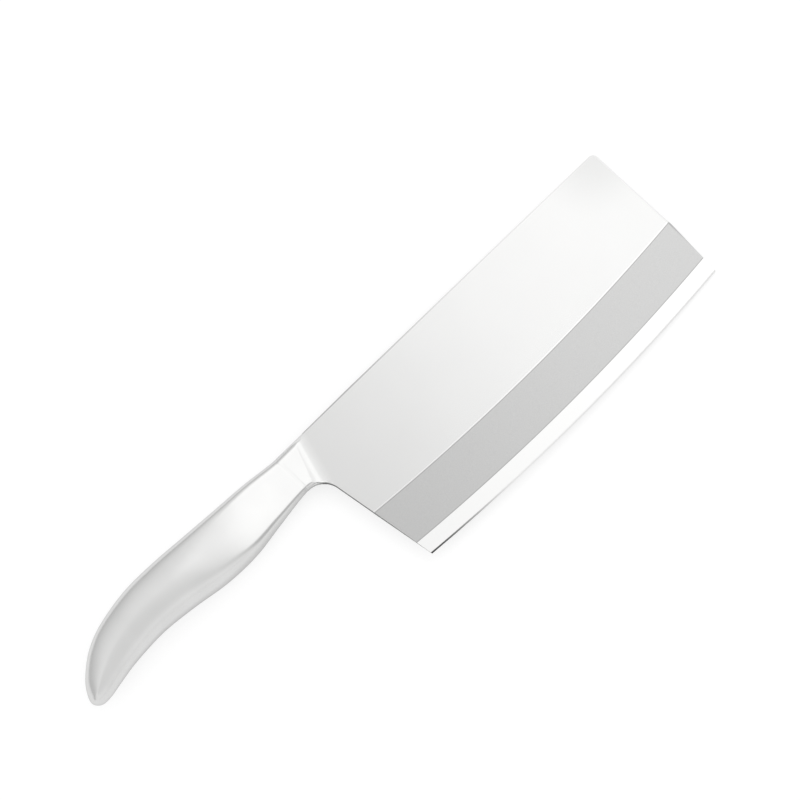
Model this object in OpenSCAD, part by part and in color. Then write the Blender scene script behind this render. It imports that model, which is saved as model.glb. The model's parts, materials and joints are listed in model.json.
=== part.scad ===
// All-steel cleaver with a hollow welded handle, lying on its left side.
// The shapes are drawn in the knife's own frame first: X runs along the spine
// toward the front end, with zero at the neck, Y points from the edge to the
// spine, with zero at the neck's spine line, and Z is zero in the blade's
// middle plane. The last module lays the knife down as it rests on a table.

/* [Blade] */
// Length of the cutting edge, from the heel to the front end
blade_len = 165; // [120:1:210]
// Thickness of the blade
blade_t = 2.2; // [1.6:0.1:3.5]
// How far the heel lies in front of the neck point
heel_x = 2.4; // [0:0.1:8]
// Depth of the heel below the spine line
heel_drop = 71.3; // [60:0.1:90]
// Depth of the front end of the edge below the spine line
front_drop = 69.9; // [60:0.1:90]
// How far the edge bows below the line from heel to front
edge_sag = 3.5; // [1:0.05:8]
// How far the spine crowns above the spine line
spine_crown = 0.35; // [0.3:0.05:1.5]
// Distance from the neck to the spine's crown
crown_run = 25; // [8:1:60]
// How far the front end bows forward
front_bow = 0.4; // [0:0.1:2]
// Depth below the spine line at which the front end reaches farthest
bow_drop = 44; // [43:0.5:55]
// How far the toe stands back from the front end's upper corner
toe_back = 1; // [0:0.1:3]
// Radius of the corner between spine and front end
tip_r = 2.6; // [0.8:0.1:6]
// Chamfer on both long corners of the spine
spine_ease = 0.3; // [0.1:0.05:0.5]
// Lean of the heel's back face, in degrees
choil_lean = 9; // [0:0.1:15]
// Length of the stub tang behind the neck weld
tang_len = 32; // [15:1:45]
// Width of the stub tang
tang_w = 10; // [6:0.5:12]

/* [Grind] */
// Height of the ground zone above the edge
grind_h = 27.5; // [20:0.5:34]
// Height of the polished strip above the edge
strip_h = 7.2; // [4:0.1:12]
// Thickness of the blade at the top of the polished strip
strip_t = 0.85; // [0.6:0.05:1.2]
// Height of the sharpening bevel
bevel_h = 0.7; // [0.4:0.1:1.5]
// Thickness behind the sharpening bevel
bevel_t = 0.35; // [0.2:0.05:0.5]

/* [Neck] */
// Width of the neck, which the handle's outline follows
neck_w = 18.1; // [15:0.1:22]
// Thickness of the neck at the weld
neck_t = 5.8; // [5.2:0.1:8]
// Radius of the finger arch between neck and heel
arch_r = 8.8; // [6:0.1:12]
// Step from the arch's centre back to the weld
weld_step = 0.45; // [0.2:0.05:2]
// Place of the bolster's front line at the spine
foot_x = 0.6; // [-1:0.1:1.5]
// Slant of the bolster's front line, in degrees
foot_slant = 15; // [10:1:24]
// Thickness at the front line that the bolster's broad faces taper toward
foot_t = 2.6; // [2.4:0.1:3.6]
// Radius of the hollow ramp from bolster to blade
ramp_r = 14; // [8:0.5:20]
// Height of the ramp's thin front lip above the blade
ramp_lip = 0.06; // [0.04:0.01:0.2]
// Depth of the flats that seat the bolster's halves on the blade
seat_d = 0.2; // [0.1:0.05:0.4]

/* [Handle] */
// Distance from the neck point to the end of the butt
handle_len = 134.7; // [110:0.1:160]
// Greatest thickness of the handle
handle_t = 18.4; // [14:0.1:24]
// Sheet thickness of the pressed shells
shell_t = 1.2; // [0.8:0.1:1.6]
// Greatest width of the rounded shoulder on the spine side
spine_shoulder = 5; // [4:0.1:6]
// Greatest width of the wall below the ridge on the belly side
belly_shoulder = 3.4; // [2.6:0.1:4]

/* [Welds] */
// Depth of the weld grooves
groove_d = 0.5; // [0.3:0.05:0.6]
// Half width of the groove along the seam
groove_w = 0.4; // [0.2:0.05:0.6]
// Length of the groove at the neck
neck_groove = 0.9; // [0.5:0.1:1.5]

/* [Hidden] */
$fn = 200;
steel = [0.80, 0.81, 0.82];
satin_steel = [0.74, 0.75, 0.76];
weld_steel = [0.66, 0.66, 0.67];

// Overrun that carries cutting shapes clear past what they cut
over = blade_t;
blade_half = blade_t / 2;
front_x = heel_x + blade_len;
reach_x = front_x + front_bow;

// The edge is one arc through the heel and the front end
edge_rise = heel_drop - front_drop;
edge_chord = norm([blade_len, edge_rise]);
edge_r = pow(edge_chord, 2) / (8 * edge_sag) + edge_sag / 2;
edge_lean = atan2(edge_rise, blade_len);
edge_mid = [heel_x + blade_len / 2, -(heel_drop + front_drop) / 2];
edge_centre = edge_mid + (edge_r - edge_sag) * [-sin(edge_lean), cos(edge_lean)];
edge_depth = edge_r - edge_centre[1];
sweep_half = 2 * asin(edge_chord / (2 * edge_r)) + 2 * asin(neck_w / (2 * edge_r));

// The finger arch touches the neck's belly line and the heel's back face
arch_y = -neck_w - arch_r;
function choil_x(y) = heel_x - (y + heel_drop) * tan(choil_lean);
arch_x = choil_x(arch_y) - arch_r / cos(choil_lean);
arch_centre = [arch_x, arch_y];
weld_x = arch_x - weld_step;

// Each row holds a place along the handle as a share of the length from the
// weld to the butt, the rails on the spine side and the belly side as shares
// of the neck's width, the share by which the thickness has grown from the
// neck's to the greatest one, the widths of the spine's shoulder and the
// belly's wall as shares of their greatest widths, and the fall of the broad
// face at its thickest part as the unit of its fall elsewhere
form_shares = [
    [0.00, 0.000, -1.000, 0.00, 0.24, 0.16, 0.0],
    [0.14, 0.092, -1.117, 0.36, 0.30, 0.22, 0.2],
    [0.27, 0.138, -1.240, 0.68, 0.44, 0.32, 0.5],
    [0.40, 0.191, -1.237, 0.88, 0.64, 0.62, 0.8],
    [0.54, 0.246, -1.106, 1.00, 0.84, 0.94, 1.0],
    [0.67, 0.234, -1.028, 0.97, 0.97, 0.94, 1.1],
    [0.80, 0.069, -1.082, 0.81, 1.00, 0.83, 1.2],
    [0.88, -0.154, -1.172, 0.69, 0.96, 0.78, 1.2],
    [0.94, -0.448, -1.248, 0.58, 0.84, 0.72, 1.2],
    [0.98, -0.738, -1.230, 0.50, 0.68, 0.62, 1.2],
    [1.00, -1.044, -1.044, 0.44, 0.50, 0.50, 1.2]
];
// Fall of the broad face from its highest line to its borders
crown_share = 0.22;
// Place of the broad face's highest line across the handle
crest_share = 0.76;
// Height of the shoulder line, as a share of the local half thickness
shoulder_share = 0.80;
// Sharpness of the shoulder line
shoulder_power = 7;

rows = len(form_shares);
last_row = rows - 1;
row_steps = 4;
across = 24;
form_len = handle_len + weld_x;

function rail_point(i, side) = let (r = form_shares[min(i, 2 * last_row - i)])
    [weld_x - form_len * r[0], neck_w * r[i > last_row ? 3 - side : side]];
function start_point(side) = let (a = rail_point(0, side), b = rail_point(1, side))
    [2 * a[0] - b[0], a[1]];
function knot(i, side) = i < 0 ? start_point(side) : rail_point(i, side);

// Smooth curve through four neighbouring points
function blend(a, b, c, d, t) =
    b + t * (c - a) / 2
    + t * t * (a - 2.5 * b + 2 * c - d / 2)
    + t * t * t * (1.5 * (b - c) + (d - a) / 2);
function rail(u, side) = let (i = min(floor(u), last_row - 1))
    blend(knot(i - 1, side), knot(i, side), knot(i + 1, side), knot(i + 2, side), u - i);
function share_at(i, column) = i < 0
    ? 2 * form_shares[0][column] - form_shares[1][column]
    : form_shares[min(i, last_row)][column];
function along(u, column) = let (i = min(floor(u), last_row - 1)) blend(
    share_at(i - 1, column), share_at(i, column), share_at(i + 1, column), share_at(i + 2, column), u - i
);
function half_t(u) = (neck_t + along(u, 3) * (handle_t - neck_t)) / 2;

// Unit normal of a rail that points into the handle
probe = 1 / 64;
function inward(u, side) = let (
        d = rail(u + (u < last_row ? probe : 0), side) - rail(max(u - probe, 0), side),
        n = [d[1], -d[0]] / norm(d)
    ) side == 1 ? -n : n;

// The whole outline as points, for the distance to the border
outline = concat(
    [for (j = [0:last_row * row_steps]) rail(j / row_steps, 1)],
    [for (j = [last_row * row_steps - 1:-1:0]) rail(j / row_steps, 2)]
);
function gap_to_line(p, a, b) = let (
        ab = b - a,
        t = max(0, min(1, ((p - a) * ab) / (ab * ab)))
    ) norm(p - a - t * ab);
function border_gap(p) = min([
    for (j = [1:len(outline) - 1]) gap_to_line(p, outline[j - 1], outline[j])
]);

// Height of the handle's surface over the middle plane
function soft_min(a, b) = pow(pow(a, -shoulder_power) + pow(b, -shoulder_power), -1 / shoulder_power);
function shoulder_run(u, v) = let (
        spine = spine_shoulder * along(u, 4),
        belly = belly_shoulder * along(u, 5)
    ) spine + v * v * (3 - 2 * v) * (belly - spine);
function face_height(half, u, v, gap, inset) = gap <= inset ? 0 : soft_min(
    half * (1 - crown_share * along(u, 6) * pow(2 * (v - crest_share), 2)) - inset,
    (half * shoulder_share - inset) * sqrt((gap - inset) / shoulder_run(u, v))
);
function across_share(k) = (1 - cos(180 * k / across)) / 2;

// One cross-section of a shell, inset from the outer surface
function section(u, inset, lip) = let (
        a = rail(u, 1) + inset * inward(u, 1),
        b = rail(u, 2) + inset * inward(u, 2),
        half = half_t(u)
    ) [for (k = [0:across]) let (
        v = across_share(k),
        p = a + v * (b - a),
        rim = k == 0 || k == across
    ) [p[0], p[1], rim ? lip : max(lip, face_height(half, u, v, border_gap(p), inset))]];
function root(u, side) = let (p = rail(u, side) + groove_d * inward(u, side)) [p[0], p[1], 0];

// Stations along the handle, with one more where the neck groove ends
first_run = form_len * form_shares[1][0];
groove_u = neck_groove / first_run;
stations = concat([0, groove_u], [for (j = [1:last_row * row_steps - 1]) j / row_steps]);
outer = [for (u = stations) section(u, u == 0 ? groove_d : 0, groove_w)];
inner = [for (u = stations) section(u, shell_t, 0)];
tip = rail(last_row, 1);
tip_outer = [tip[0], tip[1], groove_w];
tip_root = [tip[0] + groove_d, tip[1], 0];
tip_inner = [tip[0] + shell_t, tip[1], 0];

// Faces of one band of quads between two rows of points
function quad(a, b, c, d) = [[a, b, c], [a, c, d]];
function band(a, b, count, closed) = [
    for (k = [0:count - (closed ? 1 : 2)]) let (m = (k + 1) % count)
        each quad(a + k, a + m, b + m, b + k)
];
function flip(faces) = [for (f = faces) [f[2], f[1], f[0]]];

// How far the knife tilts when it lies on its side: the handle's swell and the
// blade's front end touch the table
function lean(p) = atan2(p[2] - blade_half, reach_x - p[0]);
rest_tilt = max([for (s = outer) for (p = s) lean(p)]);
highest_rail = max([for (p = outline) p[1]]);
rest_move = [
    -(reach_x - handle_len) / 2 * cos(rest_tilt),
    (edge_depth - highest_rail) / 2,
    reach_x * sin(rest_tilt) + blade_half * cos(rest_tilt)
];

// Lays the knife down as it rests, centred over the origin
module at_rest() {
    translate(rest_move)
        rotate([0, rest_tilt, 0])
            children();
}

// Corner of a square that lies outside the rounding circle
module corner_cut(r) {
    difference() {
        square([r + over, r + over]);
        circle(r = r);
    }
}

// Side view of the blade, with its edge left long
module blade_outline() {
    low = -edge_depth - over;
    touch = arch_centre + arch_r * [cos(choil_lean), sin(choil_lean)];
    difference() {
        polygon([
            [weld_x, 0],
            [foot_x, 0],
            [foot_x + crown_run, spine_crown],
            [front_x, 0],
            [reach_x, -bow_drop],
            [front_x - toe_back, -front_drop],
            [front_x - toe_back, low],
            [choil_x(low), low],
            touch,
            arch_centre,
            [arch_x, -neck_w],
            [weld_x, -neck_w]
        ]);
        translate([front_x - tip_r, -tip_r])
            corner_cut(tip_r);
        translate(arch_centre)
            circle(r = arch_r);
    }
}

// Half section of the blade from the edge inward, spun about the edge's centre
module ground_profile() {
    inner_r = edge_r - edge_depth - neck_w;
    polygon([
        [edge_r, 0],
        [edge_r - bevel_h, bevel_t / 2],
        [edge_r - strip_h, strip_t / 2],
        [edge_r - grind_h, blade_half],
        [inner_r, blade_half],
        [inner_r, -blade_half],
        [edge_r - grind_h, -blade_half],
        [edge_r - strip_h, -strip_t / 2],
        [edge_r - bevel_h, -bevel_t / 2]
    ]);
}

// Prism along the blade that chamfers the spine's long corners
module spine_prism() {
    low = -edge_depth - 2 * over;
    translate([weld_x - over, 0, 0])
        rotate([90, 0, 90])
            linear_extrude(height = reach_x - weld_x + 2 * over)
                polygon([
                    [low, -blade_half],
                    [spine_crown - spine_ease, -blade_half],
                    [spine_crown, -blade_half + spine_ease],
                    [spine_crown, blade_half - spine_ease],
                    [spine_crown - spine_ease, blade_half],
                    [low, blade_half]
                ]);
}

// Room for one half of the bolster, behind its slanted front line
module seat_cut() {
    room = neck_w + arch_r + tang_len;
    translate([foot_x, 0, blade_half - seat_d])
        rotate([0, 0, -foot_slant])
            translate([-room, -room, 0])
                cube([room, 2 * room, seat_d + over]);
}

// Stub tang that reaches into the hollow handle
module tang() {
    translate([weld_x - tang_len, -neck_w / 2, -blade_half])
        linear_extrude(height = blade_t)
            union() {
                translate([tang_w / 2, -tang_w / 2])
                    square([tang_len - tang_w / 2 + over, tang_w]);
                translate([tang_w / 2, 0])
                    circle(d = tang_w);
            }
}

module blade() {
    color(steel)
        at_rest()
            difference() {
                union() {
                    intersection() {
                        translate([0, 0, -blade_half])
                            linear_extrude(height = blade_t)
                                blade_outline();
                        spine_prism();
                        translate([edge_centre[0], edge_centre[1], 0])
                            rotate_extrude(angle = 2 * sweep_half, start = 270 - sweep_half)
                                ground_profile();
                    }
                    tang();
                }
                seat_cut();
                mirror([0, 0, 1])
                    seat_cut();
            }
}

// Bolster: the border is the spine line, the neck's belly line and the arch
foot_y = arch_y + arch_r * sin(foot_angle());
function foot_gap(p) = (foot_x + p[1] * tan(foot_slant) - p[0]) * cos(foot_slant);
function arch_point(a) = arch_centre + arch_r * [cos(a), sin(a)];
// Angle on the arch where the bolster's front line meets it
function foot_angle(lo = 0, hi = 90, n = 24) = n == 0 ? lo : let (m = (lo + hi) / 2)
    foot_gap(arch_point(m)) > 0 ? foot_angle(lo, m, n - 1) : foot_angle(m, hi, n - 1);
function bolster_rail(w, side) = side == 1
    ? [weld_x + w * (foot_x - weld_x), 0]
    : w == 0 ? [weld_x, -neck_w] : arch_point(90 - w * (90 - foot_angle()));
function bolster_gap(p) = min(
    -p[1],
    p[0] < arch_x ? p[1] + neck_w : norm(p - arch_centre) - arch_r
);
function bolster_point(w, v) = let (a = bolster_rail(w, 1), b = bolster_rail(w, 2)) a + v * (b - a);
function bolster_face(w, v) = face_height(
    (neck_t + w * (foot_t - neck_t)) / 2, 0, v, bolster_gap(bolster_point(w, v)), 0
);
function ramp_rise(gap) = gap >= ramp_r ? ramp_r : ramp_r - sqrt(ramp_r * ramp_r - gap * gap);
function ramp_height(w, v) = blade_half + ramp_lip + ramp_rise(max(0, foot_gap(bolster_point(w, v))));
// Place along the bolster where the ramp comes up to the broad face
function crest(v, lo = 0, hi = 1, n = 18) = n == 0 ? lo : let (m = (lo + hi) / 2)
    ramp_height(m, v) > bolster_face(m, v) ? crest(v, m, hi, n - 1) : crest(v, lo, m, n - 1);

face_steps = 5;
ramp_steps = 7;
bolster_rows = face_steps + ramp_steps;
crests = [for (k = [0:across]) crest(across_share(k))];
function bolster_w(j, k) = j <= face_steps
    ? crests[k] * j / face_steps
    : crests[k] + (1 - crests[k]) * (j - face_steps) / ramp_steps;
function bolster_top(j, k) = let (
        v = across_share(k),
        w = bolster_w(j, k),
        p = bolster_point(w, v),
        low = blade_half + ramp_lip
    ) [p[0], p[1], max(low, min(bolster_face(w, v), ramp_height(w, v)))];
function bolster_low(j, k) = let (p = bolster_point(bolster_w(j, k), across_share(k)))
    [p[0], p[1], blade_half - seat_d];

module bolster_cheek() {
    n = across + 1;
    size = (bolster_rows + 1) * n;
    tops = [for (j = [0:bolster_rows]) for (k = [0:across]) bolster_top(j, k)];
    lows = [for (j = [0:bolster_rows]) for (k = [0:across]) bolster_low(j, k)];
    skin = [for (j = [0:bolster_rows - 1]) each band(j * n, (j + 1) * n, n, false)];
    base = [for (j = [0:bolster_rows - 1]) each band(size + (j + 1) * n, size + j * n, n, false)];
    back = band(size, 0, n, false);
    front = band(bolster_rows * n, size + bolster_rows * n, n, false);
    sides = [for (j = [0:bolster_rows - 1]) each concat(
        quad(j * n, (j + 1) * n, size + (j + 1) * n, size + j * n),
        quad((j + 1) * n + across, j * n + across, size + j * n + across, size + (j + 1) * n + across)
    )];
    polyhedron(points = concat(tops, lows), faces = flip(concat(skin, base, back, front, sides)), convexity = 6);
}

module bolster_right() {
    color(satin_steel)
        at_rest()
            bolster_cheek();
}

module bolster_left() {
    color(satin_steel)
        at_rest()
            mirror([0, 0, 1])
                bolster_cheek();
}

// One pressed shell: rings of outer points, belly root, inner points and
// spine root, closed at the neck by a rim and at the butt by the tip
module shell() {
    m = across + 1;
    n = 2 * m + 2;
    count = len(stations);
    rings = [for (i = [0:count - 1]) each concat(
        outer[i],
        [root(stations[i], 2)],
        [for (k = [across:-1:0]) inner[i][k]],
        [root(stations[i], 1)]
    )];
    t = count * n;
    e = (count - 1) * n;
    tube = [for (i = [0:count - 2]) each band(i * n, (i + 1) * n, n, true)];
    rim = concat(
        [for (k = [0:across - 1]) each quad(k + 1, k, n - 2 - k, n - 3 - k)],
        [[0, n - 1, n - 2], [across + 1, across, across + 2]]
    );
    nose = concat(
        [for (k = [0:across - 1]) [e + k, e + k + 1, t]],
        [for (k = [0:across - 1]) [e + m + 1 + k, e + m + 2 + k, t + 2]],
        quad(e + across, e + m, t + 1, t),
        quad(e + m, e + m + 1, t + 2, t + 1),
        quad(e + n - 2, e + n - 1, t + 1, t + 2),
        quad(e + n - 1, e, t, t + 1)
    );
    polyhedron(
        points = concat(rings, [tip_outer, tip_root, tip_inner]),
        faces = concat(tube, rim, nose),
        convexity = 8
    );
}

module handle_shell_right() {
    color(steel)
        at_rest()
            shell();
}

module handle_shell_left() {
    color(steel)
        at_rest()
            mirror([0, 0, 1])
                shell();
}

// Mirror image of a row of points in the middle plane
function below(points) = [for (p = points) [p[0], p[1], -p[2]]];
function backwards(points) = [for (k = [len(points) - 1:-1:0]) points[k]];

// Bead in the groove round the neck, flush with the surface
module neck_weld() {
    wall = section(0, 0, groove_w);
    edge = section(groove_u, 0, groove_w);
    deep = section(0, groove_d, groove_w);
    loops = [for (s = [wall, deep, edge]) concat(s, backwards(below(s)))];
    n = len(loops[0]);
    color(weld_steel)
        at_rest()
            polyhedron(
                points = concat(loops[0], loops[1], loops[2]),
                faces = flip(concat(band(0, n, n, true), band(n, 2 * n, n, true), band(2 * n, 0, n, true))),
                convexity = 8
            );
}

// Bead in the groove along the spine side, round the butt and back
module seam_weld() {
    spans = [for (i = [1:len(stations) - 1]) stations[i]];
    crown = concat(
        [for (u = spans) rail(u, 1)],
        [tip],
        [for (u = backwards(spans)) rail(u, 2)]
    );
    roots = concat([for (u = spans) root(u, 1)], [tip_root], [for (u = backwards(spans)) root(u, 2)]);
    n = len(crown);
    color(weld_steel)
        at_rest()
            polyhedron(
                points = [for (i = [0:n - 1]) each [
                    [crown[i][0], crown[i][1], groove_w],
                    roots[i],
                    [crown[i][0], crown[i][1], -groove_w]
                ]],
                faces = concat(
                    [for (i = [0:n - 2]) each band(3 * i, 3 * i + 3, 3, true)],
                    [[2, 1, 0], [3 * n - 3, 3 * n - 2, 3 * n - 1]]
                ),
                convexity = 8
            );
}

blade();
bolster_right();
bolster_left();
handle_shell_right();
handle_shell_left();
neck_weld();
seam_weld();
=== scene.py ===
# An all-steel cleaver lying on a pale table, under plain soft studio light.
# Shapes are worked out in millimetres in the knife's own frame: X along the
# spine toward the front end, Y from the edge to the spine, Z zero in the
# blade's middle plane. The rest pose then lays them on the table, in metres.
import json
import math

import bmesh
import bpy
import numpy as np
from mathutils import Matrix, Vector


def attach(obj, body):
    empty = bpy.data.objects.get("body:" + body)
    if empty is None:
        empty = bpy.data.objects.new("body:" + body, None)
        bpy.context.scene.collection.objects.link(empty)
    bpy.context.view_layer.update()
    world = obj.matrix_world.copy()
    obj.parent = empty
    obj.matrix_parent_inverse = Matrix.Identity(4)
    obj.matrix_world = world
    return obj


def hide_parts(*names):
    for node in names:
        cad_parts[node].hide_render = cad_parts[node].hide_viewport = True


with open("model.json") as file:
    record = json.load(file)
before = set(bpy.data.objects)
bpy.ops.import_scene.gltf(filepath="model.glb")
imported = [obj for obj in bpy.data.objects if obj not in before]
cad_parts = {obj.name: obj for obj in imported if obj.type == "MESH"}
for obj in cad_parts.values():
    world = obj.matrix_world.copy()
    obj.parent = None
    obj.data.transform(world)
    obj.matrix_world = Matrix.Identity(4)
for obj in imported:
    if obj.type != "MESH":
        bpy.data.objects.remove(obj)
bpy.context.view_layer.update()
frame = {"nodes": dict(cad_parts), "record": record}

# Metres in a millimetre
MM = 0.001
BODY = "root"

# Blade, as in the solids
BLADE_T = 2.2
BLADE_HALF = BLADE_T / 2
HEEL_X = 2.4
BLADE_LEN = 165.0
HEEL_DROP = 71.3
FRONT_DROP = 69.9
EDGE_SAG = 3.5
CHOIL_LEAN = math.radians(9)
GRIND_H = 27.5
STRIP_H = 7.2
BEVEL_H = 0.7

# Place of the record's mount on the blade's right face
MOUNT_X = 85.0
MOUNT_Y = -22.0

# Neck and bolster, as in the solids
NECK_W = 18.1
NECK_T = 5.8
ARCH_R = 8.8
WELD_STEP = 0.45
FOOT_X = 0.6
FOOT_SLANT = math.radians(15)
FOOT_T = 2.6
SEAT_D = 0.2

# The bolster's ramp starts behind the slanted front line, farther back toward
# the finger arch, bends up in an arc and then runs straight to its crest. Its
# foot is rounder than the solid's, and the crest is in the same place.
RAMP_R = 7.0
RAMP_START = 2.2
RAMP_START_GROWTH = 0.6
RAMP_BEND = 2.1
RAMP_LIP = 0.02

# Very shallow hollow that joins the ramp to the blade. It begins this far past
# the front line, and there the blade's finish shows it.
HOLLOW_R = 75.0
HOLLOW_REACH = 1.5

# Handle, as in the solids
HANDLE_LEN = 134.7
HANDLE_T = 18.4
SHELL_T = 1.2
SPINE_SHOULDER = 5.0
BELLY_SHOULDER = 3.4
GROOVE_D = 0.5
GROOVE_W = 0.4
NECK_GROOVE = 0.9

# Place along the handle, spine rail, belly rail, growth in thickness, widths
# of the spine's shoulder and the belly's wall, and fall of the broad face
PLACE, SPINE_RAIL, BELLY_RAIL, GROWTH, SPINE_RUN, BELLY_RUN, FALL = range(7)
FORM_SHARES = np.array([
    (0.00, 0.000, -1.000, 0.00, 0.24, 0.16, 0.0),
    (0.14, 0.092, -1.117, 0.36, 0.30, 0.22, 0.2),
    (0.27, 0.138, -1.240, 0.68, 0.44, 0.32, 0.5),
    (0.40, 0.191, -1.237, 0.88, 0.64, 0.62, 0.8),
    (0.54, 0.246, -1.106, 1.00, 0.84, 0.94, 1.0),
    (0.67, 0.234, -1.028, 0.97, 0.97, 0.94, 1.1),
    (0.80, 0.069, -1.082, 0.81, 1.00, 0.83, 1.2),
    (0.88, -0.154, -1.172, 0.69, 0.96, 0.78, 1.2),
    (0.94, -0.448, -1.248, 0.58, 0.84, 0.72, 1.2),
    (0.98, -0.738, -1.230, 0.50, 0.68, 0.62, 1.2),
    (1.00, -1.044, -1.044, 0.44, 0.50, 0.50, 1.2),
])
CROWN_SHARE = 0.22
CREST_SHARE = 0.76
SHOULDER_SHARE = 0.80
SHOULDER_POWER = 7

# Fineness of the meshes
ROW_STEPS = 20
ACROSS = 56
FACE_STEPS = 18
RAMP_STEPS = 22
HALVINGS = 40
RAIL_PROBE = 1 / 64
LEAST_DEPTH = 1e-9
SHARP_ANGLE = math.radians(35)

# Tones of the steel, from black at 0 to white at 1. A pair goes from dark to
# light, and the pairs of the painted dark reflection at the spine and the
# painted shade on the edge lighten away from the heel.
SHELL_TONES = (0.725, 0.755)
WELD_TONES = (0.72, 0.755)
FACE_TONES = (0.745, 0.755)
CORNER_TONE = 0.66
# Painted highlight above the grind
GRIND_HIGHLIGHT_TONE = 0.86
# Painted dark reflection along the spine, lightening away from the heel
SPINE_REFLECTION_TONES = (0.40, 0.66)
# Painted shade along the front end
FRONT_SHADE_TONE = 0.69
MATT_TONES = (0.53, 0.585)
# Painted shade along the matt zone's edges
BORDER_SHADE_TONE = 0.38
STRIP_TONE = 0.94
# Painted shade on the sharpening bevel, dark at the heel
EDGE_SHADE_TONES = (0.10, 0.95)
# Painted shade on walls that face the butt
CHOIL_SHADE_TONE = 0.12
BLUE_SHARE = 0.994

# Roughness of the steel
SATIN_ROUGH = (0.21, 0.26)
FACE_ROUGH = (0.21, 0.25)
MATT_ROUGH = 0.28
STRIP_ROUGH = 0.36

# Grain along the knife, clouds and blasting: stretch, scale and detail
EVENLY = (1, 1, 1)
GRAIN = ((1, 16, 16), 900, 4)
SATIN_CLOUD = (EVENLY, 60, 2)
FACE_CLOUD = (EVENLY, 45, 2)
BLAST = (EVENLY, 2600, 3)
NOISE_ROUGH = 0.55
GRAIN_DEPTH = 0.003

# Extent of the tones on the blade, in millimetres: the painted shade at the
# front's upper corner, the fine lines of painted highlight and shade, and the
# places along the knife between which the painted dark reflection at the spine
# and the painted shade on the edge lighten
CORNER_SHADE = (30, 2)
ZONE_STEP = 0.06
GRIND_HIGHLIGHT = 0.35
SPINE_REFLECTION = (0.5, 0.1)
SPINE_REFLECTION_LIGHTENS = (-10, 100)
FRONT_SHADE = (0.6, 0.1)
BORDER_SHADE = 0.3
BORDER_SHADE_INSET = 0.2
FRONT_BORDER_SHADE = (0.6, 0.2)
EDGE_SHADE_LIGHTENS = (HEEL_X, 50)

# How far a wall faces the butt where its painted shade begins and is full
CHOIL_SHADE_FACING = (-0.4, -0.75)

# Table: half its side in metres, its tone, and its glow to the camera and in
# reflections, where it is shaded within this distance of the knife
TABLE_REACH = 3.0
TABLE_TONE = 0.36
CAMERA_GLOW = 0.73
REFLECTED_GLOW = 0.64
SHADE_DISTANCE = 0.02
SHADE_SAMPLES = 8

# Radiance of the surroundings from the horizon at 0 to straight up at 1, as
# pairs of height and level, past the spine and on the edge's side
SPINE_SKY = (
    (0, 0.55), (0.15, 0.61), (0.45, 0.80), (0.65, 0.95), (0.8, 0.97), (0.93, 0.87), (1, 0.84),
)
EDGE_SKY = ((0, 0.93), (0.55, 0.96), (0.85, 0.88), (1, 0.84))

# Where the two meet, and the dimmer gap beside the panel
SPINE_SKY_SLANT = 0.35
SPINE_SKY_MEETS = 0.25
GAP_X = (0.25, 0.4)
GAP_NEAR_Y = (-0.1, -0.3)
GAP_FAR_Y = (-1, -0.75)
GAP_DIMMING = 0.35

# Soft panel over the table: two corners, in metres, and its radiance
PANEL_LOW = (0.29, -0.10)
PANEL_HIGH = (1.54, 0.93)
PANEL_Z = 1.08
PANEL_LEVEL = 0.47

# The photograph's view, fitted in the knife's own frame
VIEW_AZIMUTH = math.radians(-45.23)
VIEW_ELEVATION = math.radians(74)
VIEW_DISTANCE = 1777.0
VIEW_CENTRE = Vector((38.31, -17.68, 0))
LENS = 200
SENSOR = 36

# Worked out as the solids are
FRONT_X = HEEL_X + BLADE_LEN
EDGE_CHORD = math.hypot(BLADE_LEN, HEEL_DROP - FRONT_DROP)
EDGE_R = EDGE_CHORD ** 2 / (8 * EDGE_SAG) + EDGE_SAG / 2
EDGE_LEAN = math.atan2(HEEL_DROP - FRONT_DROP, BLADE_LEN)
EDGE_CENTRE = (
    HEEL_X + BLADE_LEN / 2 - (EDGE_R - EDGE_SAG) * math.sin(EDGE_LEAN),
    -(HEEL_DROP + FRONT_DROP) / 2 + (EDGE_R - EDGE_SAG) * math.cos(EDGE_LEAN),
)
ARCH_Y = -NECK_W - ARCH_R
ARCH_X = HEEL_X - (ARCH_Y + HEEL_DROP) * math.tan(CHOIL_LEAN) - ARCH_R / math.cos(CHOIL_LEAN)
WELD_X = ARCH_X - WELD_STEP
FORM_LEN = HANDLE_LEN + WELD_X
LAST_ROW = len(FORM_SHARES) - 1


def rest_matrix():
    """The knife's own frame, in millimetres, to its place on the table, in metres."""
    mount = next(m for m in frame["record"]["mounts"] if m["name"] == "right_face")
    axis = Vector(mount["axis"])
    turn = Matrix.Rotation(math.atan2(axis.x, axis.z), 4, "Y")
    scaled = turn @ Matrix.Scale(MM, 4)
    mount_corner = scaled @ Vector((MOUNT_X, MOUNT_Y, BLADE_HALF))
    return Matrix.Translation(Vector(mount["pos_m"]) - mount_corner) @ scaled


REST = rest_matrix()


def knife_direction(x, y):
    """A direction along the blade's middle plane, turned as the knife lies."""
    return (REST.to_3x3() @ Vector((x, y, 0))).normalized()


# The handle's form

def rail_point(i, side):
    """Knot i of a rail. Past the butt it runs on along the other rail."""
    row = FORM_SHARES[min(i, 2 * LAST_ROW - i)]
    share = row[SPINE_RAIL + BELLY_RAIL - side] if i > LAST_ROW else row[side]
    return np.array((WELD_X - FORM_LEN * row[PLACE], NECK_W * share))


def knot(i, side):
    """Knot i of a rail, where the one before the first carries the neck's width on."""
    if i >= 0:
        return rail_point(i, side)
    a, b = rail_point(0, side), rail_point(1, side)
    return np.array((2 * a[0] - b[0], a[1]))


def blend(a, b, c, d, t):
    """A smooth curve from b to c, led by a before them and d after them."""
    return (
        b
        + t * (c - a) / 2
        + t * t * (a - 2.5 * b + 2 * c - d / 2)
        + t ** 3 * (1.5 * (b - c) + (d - a) / 2)
    )


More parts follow.
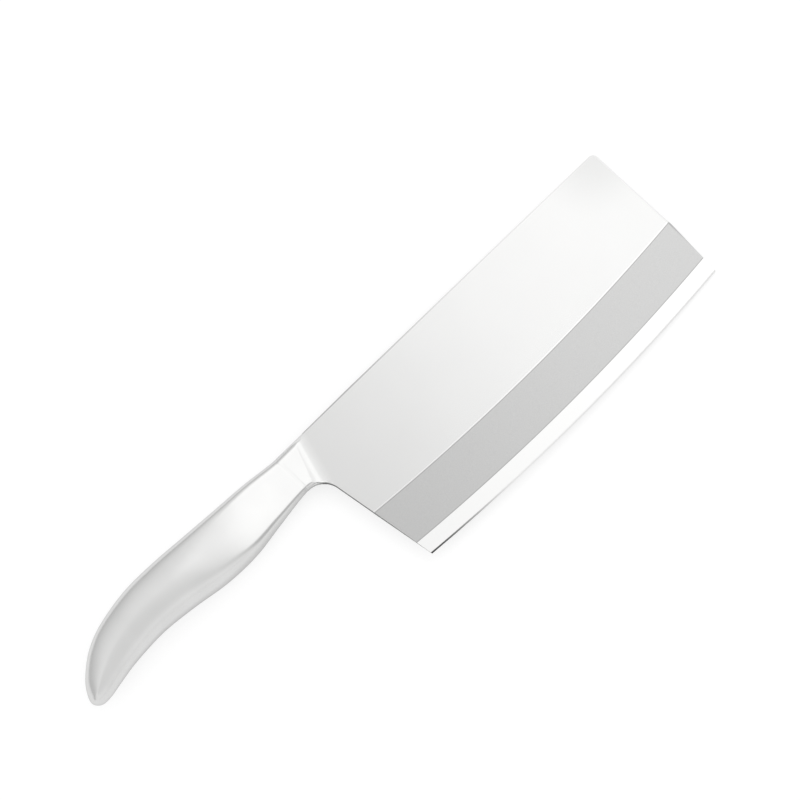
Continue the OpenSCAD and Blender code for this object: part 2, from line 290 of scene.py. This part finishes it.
def rail(u, side):
    """Place u, counted in rows of the table, on a rail of the outline."""
    i = min(int(u), LAST_ROW - 1)
    return blend(*(knot(i + k, side) for k in (-1, 0, 1, 2)), u - i)


def share_at(i, column):
    """A share of the table, carried on before its first row and after its last."""
    if i < 0:
        return 2 * FORM_SHARES[0][column] - FORM_SHARES[1][column]
    return FORM_SHARES[min(i, LAST_ROW)][column]


def along(u, column):
    """A share at place u along the handle."""
    i = min(int(u), LAST_ROW - 1)
    return blend(*(share_at(i + k, column) for k in (-1, 0, 1, 2)), u - i)


def half_t(u):
    """Half the thickness of the handle at place u."""
    return (NECK_T + along(u, GROWTH) * (HANDLE_T - NECK_T)) / 2


def inward(u, side):
    """The direction square to a rail at place u, into the handle."""
    ahead = rail(u + (RAIL_PROBE if u < LAST_ROW else 0), side)
    d = ahead - rail(max(u - RAIL_PROBE, 0), side)
    n = np.array((d[1], -d[0])) / np.linalg.norm(d)
    return -n if side == SPINE_RAIL else n


PLACES = [j / ROW_STEPS for j in range(LAST_ROW * ROW_STEPS + 1)]
OUTLINE = np.array(
    [rail(u, SPINE_RAIL) for u in PLACES] + [rail(u, BELLY_RAIL) for u in reversed(PLACES[:-1])]
)


def border_gap(points):
    """Least distance of each point to the handle's outline."""
    a = OUTLINE[:-1]
    ab = OUTLINE[1:] - a
    t = ((points[:, None] - a) * ab).sum(2) / (ab * ab).sum(1)
    near = a + np.clip(t, 0, 1)[..., None] * ab
    return np.linalg.norm(points[:, None] - near, axis=2).min(1)


def soft_min(a, b):
    """The lower of two heights, rounded where they cross."""
    return (a ** -SHOULDER_POWER + b ** -SHOULDER_POWER) ** (-1 / SHOULDER_POWER)


def face_height(half, u, v, gap, inset):
    """Height of the surface over the middle plane, for arrays v and gap."""
    spine, belly = SPINE_SHOULDER * along(u, SPINE_RUN), BELLY_SHOULDER * along(u, BELLY_RUN)
    run = spine + v * v * (3 - 2 * v) * (belly - spine)
    crown = half * (1 - CROWN_SHARE * along(u, FALL) * (2 * (v - CREST_SHARE)) ** 2) - inset
    depth = np.maximum(gap - inset, LEAST_DEPTH)
    shoulder = (half * SHOULDER_SHARE - inset) * np.sqrt(depth / run)
    return np.where(gap > inset, soft_min(crown, shoulder), 0)


ACROSS_SHARES = (1 - np.cos(np.pi * np.arange(ACROSS + 1) / ACROSS)) / 2


def section(u, inset, lip):
    """One cross-section of a shell, inset from the outer surface."""
    a = rail(u, SPINE_RAIL) + inset * inward(u, SPINE_RAIL)
    b = rail(u, BELLY_RAIL) + inset * inward(u, BELLY_RAIL)
    p = a + ACROSS_SHARES[:, None] * (b - a)
    z = np.maximum(lip, face_height(half_t(u), u, ACROSS_SHARES, border_gap(p), inset))
    z[0] = z[-1] = lip
    return np.column_stack((p, z))


def root(u, side):
    """The bottom of the seam's groove at place u."""
    p = rail(u, side) + GROOVE_D * inward(u, side)
    return np.array((p[0], p[1], 0))


GROOVE_U = NECK_GROOVE / (FORM_LEN * FORM_SHARES[1][PLACE])
STATIONS = [0, GROOVE_U] + [u for u in PLACES[:-1] if u > GROOVE_U]
TIP = rail(LAST_ROW, SPINE_RAIL)


# Meshes

def outward(mesh):
    """Turns all faces outward."""
    bm = bmesh.new()
    bm.from_mesh(mesh)
    bmesh.ops.recalc_face_normals(bm, faces=bm.faces)
    bm.to_mesh(mesh)
    bm.free()


def add_piece(name, points, faces, side, material, nodes):
    """A smooth closed mesh from points in the knife's frame. side -1 mirrors it."""
    flip = np.array((1, 1, side))
    mesh = bpy.data.meshes.new(name)
    mesh.from_pydata([REST @ Vector(p * flip) for p in points], [], faces)
    mesh.update()
    piece = bpy.data.objects.new(name, mesh)
    bpy.context.scene.collection.objects.link(piece)
    outward(mesh)
    mesh.shade_smooth()
    mesh.set_sharp_from_angle(angle=SHARP_ANGLE)
    mesh.materials.append(material)
    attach(piece, BODY)
    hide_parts(*nodes)


def band(a, b, count, closed):
    """Quads between two rows of points that start at indices a and b."""
    steps = count if closed else count - 1
    return [(a + k, a + (k + 1) % count, b + (k + 1) % count, b + k) for k in range(steps)]


def shell(name, side, material, node):
    """A pressed shell: a ring of outer and inner points at each station, and the tip."""
    row = ACROSS + 1
    belly_root, inner, spine_root = row, row + 1, 2 * row + 1
    ring = 2 * row + 2
    points = []
    for u in STATIONS:
        points.extend(section(u, GROOVE_D if u == 0 else 0, GROOVE_W))
        points.append(root(u, BELLY_RAIL))
        points.extend(section(u, SHELL_T, 0)[::-1])
        points.append(root(u, SPINE_RAIL))
    tip, tip_root, tip_inner = (len(points) + k for k in range(3))
    for step, z in ((0, GROOVE_W), (GROOVE_D, 0), (SHELL_T, 0)):
        points.append(np.array((TIP[0] + step, TIP[1], z)))
    last = tip - ring
    faces = []
    for i in range(len(STATIONS) - 1):
        faces.extend(band(i * ring, (i + 1) * ring, ring, True))
    for k in range(ACROSS):
        faces.append((k + 1, k, spine_root - 1 - k, spine_root - 2 - k))
        faces.append((last + k, last + k + 1, tip))
        faces.append((last + inner + k, last + inner + k + 1, tip_inner))
    faces.append((0, spine_root, spine_root - 1))
    faces.append((belly_root, belly_root - 1, inner))
    faces.append((last + belly_root - 1, last + belly_root, tip_root, tip))
    faces.append((last + belly_root, last + inner, tip_inner, tip_root))
    faces.append((last + spine_root - 1, last + spine_root, tip_root, tip_inner))
    faces.append((last + spine_root, last, tip, tip_root))
    add_piece(name, points, faces, side, material, [node])


def arch_point(angle):
    """A point of the finger arch."""
    return np.array((ARCH_X, ARCH_Y)) + ARCH_R * np.array((math.cos(angle), math.sin(angle)))


def foot_gap(p):
    """Distance behind the bolster's slanted front line."""
    return (FOOT_X + p[1] * math.tan(FOOT_SLANT) - p[0]) * math.cos(FOOT_SLANT)


def bisect(test, low, high):
    """The place between low and high up to which test holds."""
    for _ in range(HALVINGS):
        middle = (low + high) / 2
        low, high = (middle, high) if test(middle) else (low, middle)
    return (low + high) / 2


QUARTER = math.pi / 2
FOOT_ANGLE = QUARTER - bisect(lambda a: foot_gap(arch_point(QUARTER - a)) > 0, 0, QUARTER)


def bolster_point(w, v):
    """Place w from the weld to the front line and v from the spine to the arch."""
    a = np.array((WELD_X + w * (FOOT_X - WELD_X), 0))
    b = np.array((WELD_X, -NECK_W)) if w == 0 else arch_point(QUARTER - w * (QUARTER - FOOT_ANGLE))
    return a + v * (b - a)


def bolster_face(w, v):
    """Height of the bolster's broad face, which tapers on from the handle's."""
    p = bolster_point(w, v)
    low = p[1] + NECK_W if p[0] < ARCH_X else np.linalg.norm(p - (ARCH_X, ARCH_Y)) - ARCH_R
    gap = np.array(max(0, min(-p[1], low)))
    half = (NECK_T + w * (FOOT_T - NECK_T)) / 2
    return float(face_height(half, 0, np.array(v), gap, 0))


def ramp_height(w, v):
    """Height of the ramp: a hollow, then an arc, then straight on at the arc's slope."""
    gap = max(0, foot_gap(bolster_point(w, v)))
    hollow = gap * (gap + 2 * HOLLOW_REACH) / (2 * HOLLOW_R)
    past_start = max(0, gap - RAMP_START - RAMP_START_GROWTH * v)
    bend = min(RAMP_BEND, past_start)
    level_to_centre = math.sqrt(RAMP_R ** 2 - bend ** 2)
    steep = RAMP_R - level_to_centre + (past_start - bend) * bend / level_to_centre
    return BLADE_HALF + RAMP_LIP + hollow + steep


def bolster_row(j, crest):
    """Place along the bolster of row j, with rows close together on the ramp."""
    if j <= FACE_STEPS:
        return crest * j / FACE_STEPS
    return crest + (1 - crest) * (j - FACE_STEPS) / RAMP_STEPS


def bolster(name, side, material, node):
    """Half of the bolster, from its seat on the blade up to its face and ramp."""
    row = ACROSS + 1
    last = FACE_STEPS + RAMP_STEPS
    crests = [bisect(lambda w: ramp_height(w, v) > bolster_face(w, v), 0, 1) for v in ACROSS_SHARES]
    tops, lows = [], []
    for j in range(last + 1):
        for v, crest in zip(ACROSS_SHARES, crests):
            w = bolster_row(j, crest)
            p = bolster_point(w, v)
            z = max(BLADE_HALF + RAMP_LIP, min(bolster_face(w, v), ramp_height(w, v)))
            tops.append(np.array((p[0], p[1], z)))
            lows.append(np.array((p[0], p[1], BLADE_HALF - SEAT_D)))
    below = len(tops)
    faces = []
    for j in range(last):
        a, b = j * row, (j + 1) * row
        faces.extend(band(a, b, row, False))
        faces.extend(band(below + b, below + a, row, False))
        for k in (0, ACROSS):
            faces.append((a + k, b + k, below + b + k, below + a + k))
    faces.extend(band(below, 0, row, False))
    faces.extend(band(last * row, below + last * row, row, False))
    add_piece(name, tops + lows, faces, side, material, [node])


def neck_weld(material):
    """The ring of weld that fills the groove at the neck."""
    loops = []
    for u, inset in ((0, 0), (0, GROOVE_D), (GROOVE_U, 0)):
        half = section(u, inset, GROOVE_W)
        loops.append(np.vstack((half, (half * (1, 1, -1))[::-1])))
    n = len(loops[0])
    faces = band(0, n, n, True) + band(n, 2 * n, n, True) + band(2 * n, 0, n, True)
    points = np.vstack(loops)
    add_piece("neck_weld_bead", points, faces, 1, material, ["neck_weld"])


def seam_weld(material):
    """The bead that fills the groove between the shells, round the butt."""
    spans = STATIONS[1:]
    crown = [rail(u, SPINE_RAIL) for u in spans] + [TIP]
    crown += [rail(u, BELLY_RAIL) for u in reversed(spans)]
    roots = [root(u, SPINE_RAIL) for u in spans] + [np.array((TIP[0] + GROOVE_D, TIP[1], 0))]
    roots += [root(u, BELLY_RAIL) for u in reversed(spans)]
    points = []
    for c, r in zip(crown, roots):
        points.extend([np.array((*c, GROOVE_W)), r, np.array((*c, -GROOVE_W))])
    n = len(crown)
    faces = [(2, 1, 0), (3 * n - 3, 3 * n - 2, 3 * n - 1)]
    for i in range(n - 1):
        faces.extend(band(3 * i, 3 * i + 3, 3, True))
    add_piece("seam_weld_bead", points, faces, 1, material, ["seam_weld"])


# Materials

class Nodes:
    """Short calls that add nodes to one tree."""

    def __init__(self, tree):
        self.tree = tree
        tree.nodes.clear()

    def node(self, kind, **settings):
        made = self.tree.nodes.new(kind)
        for key, value in settings.items():
            setattr(made, key, value)
        return made

    def link(self, source, target):
        self.tree.links.new(source, target)

    def feed(self, socket, value):
        """Sets a socket to a number or colour, or links it to another socket."""
        if isinstance(value, bpy.types.NodeSocket):
            self.link(value, socket)
        elif isinstance(value, tuple) and len(socket.default_value) == 4:
            socket.default_value = (*value, 1)
        else:
            socket.default_value = value

    def math(self, operation, a, b):
        made = self.node("ShaderNodeMath", operation=operation)
        self.feed(made.inputs[0], a)
        self.feed(made.inputs[1], b)
        return made.outputs[0]

    def vector(self, operation, a, b=(0, 0, 0), out="Vector"):
        made = self.node("ShaderNodeVectorMath", operation=operation)
        self.feed(made.inputs[0], a)
        self.feed(made.inputs[1], b)
        return made.outputs[out]

    def split(self, source):
        """The X, Y and Z of a vector."""
        made = self.node("ShaderNodeSeparateXYZ")
        self.link(source, made.inputs[0])
        return made.outputs

    def spread(self, value, low, high, start=0.3, end=0.7, easing="LINEAR"):
        """Maps start to end of a value to low to high. Without them it suits a noise."""
        ranged = self.node("ShaderNodeMapRange", interpolation_type=easing)
        ends = {"From Min": start, "From Max": end, "To Min": low, "To Max": high}
        for name, number in ends.items():
            ranged.inputs[name].default_value = number
        self.link(value, ranged.inputs["Value"])
        return ranged.outputs[0]

    def rise(self, value, start, end):
        """A smooth step from 0 at start to 1 at end, where end may be the lower."""
        if start < end:
            return self.spread(value, 0, 1, start, end, "SMOOTHSTEP")
        return self.spread(value, 1, 0, end, start, "SMOOTHSTEP")

    def line(self, value, place, half_width):
        """1 at a place, falling to 0 half a width to either side."""
        away = self.math("ABSOLUTE", self.math("SUBTRACT", value, place), 0.0)
        return self.rise(away, half_width, 0.0)

    def mix(self, factor, a, b):
        """Colour a at factor 0, colour b at 1. Each is a tuple or a socket."""
        mixed = self.node("ShaderNodeMix", data_type="RGBA")
        self.feed(mixed.inputs["Factor"], factor)
        self.feed(mixed.inputs[6], a)
        self.feed(mixed.inputs[7], b)
        return mixed.outputs[2]

    def levels(self, value, stops):
        """Grey levels over a value, from pairs of place and level."""
        ramp = self.node("ShaderNodeValToRGB")
        elements = ramp.color_ramp.elements
        while len(elements) < len(stops):
            elements.new(position=0.5)
        for element, (place, level) in zip(elements, stops):
            element.position = place
            element.color = (level, level, level, 1)
        self.link(value, ramp.inputs[0])
        return ramp.outputs[0]


class Steel(Nodes):
    """A node material around one metallic shader."""

    def __init__(self, name):
        self.material = bpy.data.materials.new(name)
        self.material.use_nodes = True
        super().__init__(self.material.node_tree)
        self.bsdf = self.node("ShaderNodeBsdfPrincipled")
        self.bsdf.inputs["Metallic"].default_value = 1.0
        self.link(self.bsdf.outputs[0], self.node("ShaderNodeOutputMaterial").inputs["Surface"])
        self.coords = self.node("ShaderNodeTexCoord").outputs["Object"]

    def noise(self, stretch, scale, detail):
        """Noise over the surface, stretched by three factors."""
        texture = self.node("ShaderNodeTexNoise")
        texture.inputs["Scale"].default_value = scale
        texture.inputs["Detail"].default_value = detail
        texture.inputs["Roughness"].default_value = NOISE_ROUGH
        self.link(self.vector("MULTIPLY", self.coords, stretch), texture.inputs["Vector"])
        return texture.outputs["Fac"]

    def clouded(self, noise, tones):
        """A tone that drifts between a dark and a light one with a noise."""
        return self.mix(self.spread(noise, 0, 1), grey(tones[0]), grey(tones[1]))

    def paint_choil_shade(self, colour):
        """The colour, with painted shade on walls that face the butt, such as the choil's cut wall.
        """
        facing = self.split(self.node("ShaderNodeNewGeometry").outputs["True Normal"])
        return self.mix(self.rise(facing["X"], *CHOIL_SHADE_FACING), colour, grey(CHOIL_SHADE_TONE))

    def bump(self, height, distance):
        bumped = self.node("ShaderNodeBump")
        bumped.inputs["Distance"].default_value = distance
        self.link(height, bumped.inputs["Height"])
        self.link(bumped.outputs[0], self.bsdf.inputs["Normal"])


def grey(level):
    """Neutral steel, a trace warmer than grey."""
    return (level, level, level * BLUE_SHARE)


def satin_steel(name, tones, finish=None):
    """Finely brushed steel, with grain along the knife and slight cloudiness.

    A finish, where there is one, makes the final colour from the steel's by painting shade on it.
    """
    s = Steel(name)
    grain = s.noise(*GRAIN)
    colour = s.clouded(s.noise(*SATIN_CLOUD), tones)
    s.link(finish(s, colour) if finish else colour, s.bsdf.inputs["Base Color"])
    s.link(s.spread(grain, *SATIN_ROUGH), s.bsdf.inputs["Roughness"])
    s.bump(grain, GRAIN_DEPTH * MM)
    return s.material


def knife_x(x):
    """The table's X, in metres, of a place along the knife."""
    return (REST @ Vector((x, 0, 0))).x


class BladeSteel(Steel):
    """Satin faces, a matt blasted zone and a fine ground strip, by height over the edge."""

    def __init__(self, name):
        super().__init__(name)
        self.x, self.y, _ = self.split(self.coords)
        from_centre = self.away_from((*EDGE_CENTRE, 0))
        radius = self.vector("LENGTH", self.vector("MULTIPLY", from_centre, (1, 1, 0)), out="Value")
        self.height = self.math("SUBTRACT", EDGE_R * MM, radius)

    def away_from(self, point):
        """The way from a point of the knife's frame to the place shaded."""
        return self.vector("SUBTRACT", self.coords, tuple(REST @ Vector(point)))

    def above(self, height):
        """0 below a height over the edge and 1 above it."""
        return self.spread(self.height, 0, 1, (height - ZONE_STEP) * MM, (height + ZONE_STEP) * MM)

    def lightens(self, places, tones):
        """A dark tone that turns light between two places along the knife."""
        factor = self.rise(self.x, knife_x(places[0]), knife_x(places[1]))
        return self.mix(factor, grey(tones[0]), grey(tones[1]))

    def front_end(self, line):
        """1 at the front end, from 0 at a line's width before it."""
        before, past = line
        return self.rise(self.x, knife_x(FRONT_X - before), knife_x(FRONT_X + past))

    def face(self):
        """The satin faces, with the front corner's painted shade and fine lines at their borders: a
        painted highlight above the grind, painted dark reflection at the spine and painted shade at
        the front end.
        """
        tone = self.clouded(self.noise(*FACE_CLOUD), FACE_TONES)
        to_corner = self.vector("LENGTH", self.away_from((FRONT_X, 0, 0)), out="Value")
        far, near = CORNER_SHADE
        tone = self.mix(self.rise(to_corner, far * MM, near * MM), tone, grey(CORNER_TONE))
        grind_highlight = self.line(self.height, (GRIND_H + GRIND_HIGHLIGHT) * MM, GRIND_HIGHLIGHT * MM)
        tone = self.mix(grind_highlight, tone, grey(GRIND_HIGHLIGHT_TONE))
        spine_y = (REST @ Vector((FRONT_X, 0, 0))).y
        below, near = SPINE_REFLECTION
        spine_reflection = self.rise(self.y, spine_y - below * MM, spine_y - near * MM)
        tone = self.mix(spine_reflection, tone, self.lightens(SPINE_REFLECTION_LIGHTENS, SPINE_REFLECTION_TONES))
        return self.mix(self.front_end(FRONT_SHADE), tone, grey(FRONT_SHADE_TONE))

    def matt_zone(self):
        """The blasted zone, with a line of painted shade all round."""
        tone = self.clouded(self.noise(*BLAST), MATT_TONES)
        top = self.line(self.height, (GRIND_H - BORDER_SHADE_INSET) * MM, BORDER_SHADE * MM)
        bottom = self.line(self.height, (STRIP_H + BORDER_SHADE_INSET) * MM, BORDER_SHADE * MM)
        border_shade = self.math("MAXIMUM", top, bottom)
        border_shade = self.math("MAXIMUM", border_shade, self.front_end(FRONT_BORDER_SHADE))
        return self.mix(border_shade, tone, grey(BORDER_SHADE_TONE))

    def strip(self):
        """The polished strip and, below it, painted shade on the sharpening bevel, dark at the
        heel.
        """
        edge_shade = self.lightens(EDGE_SHADE_LIGHTENS, EDGE_SHADE_TONES)
        return self.mix(self.above(BEVEL_H), edge_shade, grey(STRIP_TONE))

    def ramp_hollow(self):
        """Deepens from 0, at the hollow's reach past the bolster's front line, to 1 at the line."""
        away = knife_direction(math.cos(FOOT_SLANT), -math.sin(FOOT_SLANT))
        from_foot = self.away_from((FOOT_X, 0, BLADE_HALF))
        past_foot = self.vector("DOT_PRODUCT", from_foot, tuple(away), out="Value")
        hollow = self.spread(past_foot, 1, 0, 0, HOLLOW_REACH * MM)
        return self.math("MULTIPLY", hollow, hollow)


def blade_steel():
    """The blade's finish with its painted highlight and shade, in zones from its faces down to the
    edge.
    """
    s = BladeSteel("blade_finish_and_shade")
    above_grind, above_strip = s.above(GRIND_H), s.above(STRIP_H)
    lower = s.mix(above_strip, s.strip(), s.matt_zone())
    skin = s.mix(above_grind, lower, s.face())
    s.link(s.paint_choil_shade(skin), s.bsdf.inputs["Base Color"])
    lower_rough = s.mix(above_strip, grey(STRIP_ROUGH), grey(MATT_ROUGH))
    face_rough = s.spread(s.noise(*GRAIN), *FACE_ROUGH)
    s.link(s.mix(above_grind, lower_rough, face_rough), s.bsdf.inputs["Roughness"])
    s.bump(s.ramp_hollow(), HOLLOW_REACH ** 2 / (2 * HOLLOW_R) * MM)
    return s.material


# The object

def dress_cad(node, material):
    """Gives a node's own solid a material."""
    piece = frame["nodes"][node]
    piece.data.materials.clear()
    piece.data.materials.append(material)


handle_finish = satin_steel("handle_finish", SHELL_TONES)
# The bolster's walls that face the butt get painted shade
bolster_finish_and_shade = satin_steel("bolster_finish_and_shade", SHELL_TONES, Steel.paint_choil_shade)
weld_finish = satin_steel("weld_finish", WELD_TONES)
dress_cad("blade", blade_steel())
for side_name, side in (("right", 1), ("left", -1)):
    shell(f"pressed_shell_{side_name}", side, handle_finish, f"handle_shell_{side_name}")
    bolster(f"ground_bolster_{side_name}", side, bolster_finish_and_shade, f"bolster_{side_name}")
neck_weld(weld_finish)
seam_weld(weld_finish)


# Table, light and camera

def table():
    """A pale table, white to the camera, that keeps a soft shadow.

    In reflections it glows less, and darkens near the knife.
    """
    mesh = bpy.data.meshes.new("table")
    signs = ((-1, -1), (1, -1), (1, 1), (-1, 1))
    mesh.from_pydata([(TABLE_REACH * x, TABLE_REACH * y, 0) for x, y in signs], [], [(0, 1, 2, 3)])
    piece = bpy.data.objects.new("table", mesh)
    bpy.context.scene.collection.objects.link(piece)
    material = bpy.data.materials.new("table_top")
    material.use_nodes = True
    n = Nodes(material.node_tree)
    matt = n.node("ShaderNodeBsdfDiffuse")
    matt.inputs["Color"].default_value = (TABLE_TONE, TABLE_TONE, TABLE_TONE, 1)
    path = n.node("ShaderNodeLightPath").outputs
    shade = n.node("ShaderNodeAmbientOcclusion", samples=SHADE_SAMPLES)
    shade.inputs["Distance"].default_value = SHADE_DISTANCE
    reflected = n.math("MAXIMUM", path["Is Glossy Ray"], path["Is Transmission Ray"])
    shaded_glow = n.math("MULTIPLY", shade.outputs["AO"], REFLECTED_GLOW)
    reflected = n.math("MULTIPLY", reflected, shaded_glow)
    seen = n.math("MULTIPLY", path["Is Camera Ray"], CAMERA_GLOW)
    glow = n.node("ShaderNodeEmission")
    n.link(n.math("ADD", seen, reflected), glow.inputs["Strength"])
    both = n.node("ShaderNodeAddShader")
    n.link(matt.outputs[0], both.inputs[0])
    n.link(glow.outputs[0], both.inputs[1])
    n.link(both.outputs[0], n.node("ShaderNodeOutputMaterial").inputs["Surface"])
    mesh.materials.append(material)


def studio():
    """Soft light by direction, dim low past the spine and in a gap beside the panel."""
    world = bpy.data.worlds.new("studio")
    bpy.context.scene.world = world
    world.use_nodes = True
    n = Nodes(world.node_tree)
    x, y, z = n.split(n.node("ShaderNodeTexCoord").outputs["Generated"])
    toward_spine = n.math("SUBTRACT", y, n.math("MULTIPLY", x, SPINE_SKY_SLANT))
    past_spine = n.rise(toward_spine, -SPINE_SKY_MEETS, SPINE_SKY_MEETS)
    sky = n.mix(past_spine, n.levels(z, EDGE_SKY), n.levels(z, SPINE_SKY))
    gap_depth = n.math("MULTIPLY", n.rise(y, *GAP_NEAR_Y), n.rise(y, *GAP_FAR_Y))
    gap = n.math("MULTIPLY", n.rise(x, *GAP_X), gap_depth)
    light = n.math("SUBTRACT", sky, n.math("MULTIPLY", gap, GAP_DIMMING))
    background = n.node("ShaderNodeBackground")
    n.link(light, background.inputs["Color"])
    n.link(background.outputs[0], n.node("ShaderNodeOutputWorld").inputs["Surface"])


def soft_panel():
    """A wide flat lamp over the table, of one radiance all over."""
    width, depth = PANEL_HIGH[0] - PANEL_LOW[0], PANEL_HIGH[1] - PANEL_LOW[1]
    lamp = bpy.data.lights.new("soft_panel", "AREA")
    lamp.shape = "RECTANGLE"
    lamp.size, lamp.size_y = width, depth
    lamp.energy = PANEL_LEVEL * math.pi * width * depth
    holder = bpy.data.objects.new("soft_panel", lamp)
    holder.location = (PANEL_LOW[0] + width / 2, PANEL_LOW[1] + depth / 2, PANEL_Z)
    holder.visible_camera = False
    bpy.context.scene.collection.objects.link(holder)


def camera():
    """The photograph's view."""
    back = Vector((
        math.sin(VIEW_AZIMUTH) * math.cos(VIEW_ELEVATION),
        -math.cos(VIEW_AZIMUTH) * math.cos(VIEW_ELEVATION),
        math.sin(VIEW_ELEVATION),
    ))
    data = bpy.data.cameras.new("camera")
    data.lens = LENS
    data.sensor_width = SENSOR
    holder = bpy.data.objects.new("camera", data)
    bpy.context.scene.collection.objects.link(holder)
    place = REST @ (VIEW_CENTRE + back * VIEW_DISTANCE)
    right = knife_direction(math.cos(VIEW_AZIMUTH), math.sin(VIEW_AZIMUTH))
    away = (place - REST @ VIEW_CENTRE).normalized()
    turned = Matrix((right, away.cross(right), away)).transposed()
    holder.matrix_world = Matrix.Translation(place) @ turned.to_4x4()
    bpy.context.scene.camera = holder


table()
studio()
soft_panel()
camera()
bpy.context.scene.view_settings.view_transform = "Standard"
